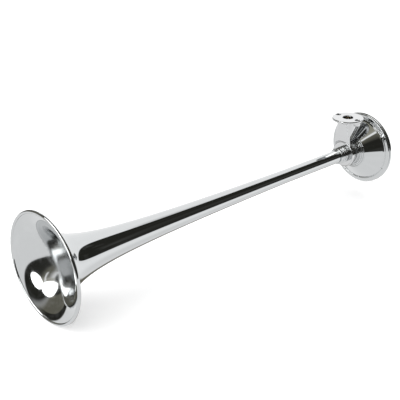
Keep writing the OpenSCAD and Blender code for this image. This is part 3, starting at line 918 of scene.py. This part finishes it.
class HORN_OT_studio(bpy.types.Operator):
    """Lay the pale floor, light the room and set the camera"""
    bl_idname = "horn.studio"
    bl_label = "Studio"

    def execute(self, context):
        look = context.scene.horn_studio
        self.lay_floor(look)
        self.light_room(context, look)
        self.hang_lights(look)
        self.set_camera(context, look)
        context.scene.view_settings.view_transform = "Standard"
        return {"FINISHED"}

    def lay_floor(self, look):
        """Pale paper, a hair below the horn."""
        gap = 0.2 * MM
        bm = bmesh.new()
        bmesh.ops.create_grid(bm, x_segments=2, y_segments=2, size=8.0,
                              matrix=Matrix.Translation((0, 0, CAD_BOX[0][2] - gap)))
        floor = piece_from(bm, "floor")
        material, tree, place = new_material("seamless_paper")
        # Paper fibre 2 mm long, too faint to draw the eye
        fibres = add_node(tree, "ShaderNodeTexNoise", {"Vector": place, "Scale": 500.0})
        bump = add_node(tree, "ShaderNodeBump",
                        {"Height": fibres.outputs["Fac"], "Strength": 0.05, "Distance": 0.1 * MM})
        wire(tree, tree.nodes["Principled BSDF"], {
            "Base Color": look.paper, "Roughness": 0.9, "Specular IOR Level": 0.2,
            "Emission Color": look.paper, "Emission Strength": look.floor_glow,
            "Normal": bump.outputs["Normal"]})
        put_material(floor, material)
        # The chrome mirrors the room's own pale ground, which ends where the real sheet did
        floor.visible_glossy = False
        return floor

    def light_room(self, context, look):
        """Room that only mirrored rays see. All others see plain paper."""
        world = bpy.data.worlds.new("photo_room")
        context.scene.world = world
        world.use_nodes = True
        tree = world.node_tree
        tree.nodes.clear()
        way = add_node(tree, "ShaderNodeTexCoord").outputs["Generated"]
        parts = add_node(tree, "ShaderNodeSeparateXYZ", {0: way}).outputs
        heading = add_node(tree, "ShaderNodeMath", {0: parts["Y"], 1: parts["X"]},
                           operation="ARCTAN2").outputs[0]
        white = [look.backdrop_strength * part for part in look.paper[:3]] + [1.0]
        # Parts of the room: heading from and to, in degrees from +X, with its softness, height
        # from and to, as the sine of the elevation, with its softness, and colour. A later one
        # lies over an earlier one, and 181 and 2.0 lie past the ends of their scales.
        zones = (
            (-181, 181, 1, -2.0, -0.105, 0.012, look.paper),
            (10, 100, 10, -0.5, -0.105, 0.16, white),
            (108, 142, 6, -0.9, -0.42, 0.04, look.dim),
            (-181, -124, 7, -0.17, 0.6, 0.02, look.dim),
            (-181, -130, 7, -0.17, -0.03, 0.02, look.dark),
            (-124, -20, 7, -0.145, 0.62, 0.02, look.dark),
            (-22, 83, 1, -0.105, 0.9, 0.012, look.dark),
            (-72, -20, 8, 0.5, 0.82, 0.12, look.dim),
            (158, 181, 4, 0.0, 0.6, 0.05, look.dark),
            (-140, -70, 7, 0.5, 0.9, 0.08, look.ceiling),
            (-84, -48, 1, 0.61, 0.66, 0.012, white),
            (-181, -134, 5, 0.56, 2.0, 0.03, look.dark),
            (-181, 181, 1, 0.9, 2.0, 0.02, look.dark),
            (-25, 130, 5, 0.78, 2.0, 0.03, look.dark),
            (130, 181, 5, 0.66, 2.0, 0.03, look.dark))
        room = white
        for start, end, blur, low, high, soft, tone in zones:
            edges = []
            for value, width, ends in (
                    (heading, math.radians(blur), (math.radians(start), math.radians(end))),
                    (parts["Z"], soft, (low, high))):
                for edge in ends:
                    edges.append(add_node(
                        tree, "ShaderNodeMapRange",
                        {"Value": value, "From Min": edge - width, "From Max": edge + width},
                        interpolation_type="SMOOTHSTEP").outputs["Result"])
            turn, rise = [add_node(tree, "ShaderNodeMath", {0: up, 1: down},
                                   operation="SUBTRACT").outputs[0]
                          for up, down in (edges[:2], edges[2:])]
            inside = add_node(tree, "ShaderNodeMath", {0: turn, 1: rise}, operation="MULTIPLY")
            room = add_node(tree, "ShaderNodeMix", {"Factor": inside.outputs[0], 6: room, 7: tone},
                            data_type="RGBA").outputs[2]
        # Stands and walls in the unlit room, which streak the dark bands along the tube
        clutter = add_node(tree, "ShaderNodeTexNoise",
                           {"Vector": way, "Scale": 5.0, "Detail": 4.0})
        faint = add_node(tree, "ShaderNodeMapRange",
                         {"Value": clutter.outputs["Fac"], "From Min": 0.5, "From Max": 0.75,
                          "To Min": 0.0, "To Max": 0.05})
        room = add_node(tree, "ShaderNodeMix",
                        {"Factor": faint.outputs["Result"], 6: room, 7: look.paper},
                        data_type="RGBA", blend_type="ADD").outputs[2]
        mirrored, seen = [add_node(tree, "ShaderNodeBackground", {"Color": tone})
                          for tone in (room, look.paper)]
        glossy = add_node(tree, "ShaderNodeLightPath").outputs["Is Glossy Ray"]
        both = add_node(tree, "ShaderNodeMixShader",
                        {0: glossy, 1: seen.outputs[0], 2: mirrored.outputs[0]})
        add_node(tree, "ShaderNodeOutputWorld", {"Surface": both.outputs[0]})

    def hang_lights(self, look):
        """Soft light above, and two round softboxes that the bell mirrors."""
        sun = bpy.data.lights.new("overhead", "SUN")
        sun.energy = look.sun_strength
        sun.angle = math.radians(80)
        lamp = new_object("overhead", sun)
        lamp.visible_glossy = False
        lamp.rotation_euler = (math.radians(12), math.radians(8), 0.0)
        bell = (-0.02, -0.57, -0.1)
        for name, place, radius, watts in (
                ("softbox_low", (0.025, -1.707, 0.274), 0.31, 4.0),
                ("softbox_high", (-0.337, -1.362, 0.73), 0.44, 7.0)):
            light = bpy.data.lights.new(name, "AREA")
            light.shape, light.size, light.energy = "DISK", 2 * radius, watts
            aimed(name, light, place, bell).visible_camera = False

    def set_camera(self, context, look):
        """Camera at the photograph's angle."""
        place, target = (0.8736, -1.1097, 0.4896), (-0.043951, -0.2783, -0.07463)
        camera = bpy.data.cameras.new("camera")
        camera.lens = look.lens
        camera.clip_start = 0.01
        context.scene.camera = aimed("camera", camera, place, target)


class HORN_PT_panel(bpy.types.Panel):
    """Lists the horn's pieces"""
    bl_idname = "HORN_PT_panel"
    bl_label = "Air Horn"
    bl_space_type = "VIEW_3D"
    bl_region_type = "UI"
    bl_category = "Air Horn"

    def draw(self, context):
        for operator in OPERATORS:
            self.layout.operator(operator.bl_idname)


GROUPS = {"horn_trumpet": TrumpetSizes, "horn_ferrule": FerruleSizes,
          "horn_pedestal": PedestalSizes, "horn_housing": HousingSizes, "horn_cover": CoverSizes,
          "horn_finishes": Finishes, "horn_studio": StudioLook}
OPERATORS = (HORN_OT_trumpet, HORN_OT_ferrule, HORN_OT_pedestal, HORN_OT_housing, HORN_OT_cover,
             HORN_OT_fasteners, HORN_OT_diaphragm, HORN_OT_small_parts, HORN_OT_studio)


def register():
    for name, group in GROUPS.items():
        bpy.utils.register_class(group)
        setattr(bpy.types.Scene, name, PointerProperty(type=group))
    for made in OPERATORS + (HORN_PT_panel,):
        bpy.utils.register_class(made)


def unregister():
    for made in (HORN_PT_panel,) + OPERATORS[::-1]:
        bpy.utils.unregister_class(made)
    for name, group in GROUPS.items():
        delattr(bpy.types.Scene, name)
        bpy.utils.unregister_class(group)


def main():
    register()
    for operator in OPERATORS:
        getattr(bpy.ops.horn, operator.bl_idname.partition(".")[2])()


if __name__ == "__main__":
    main()
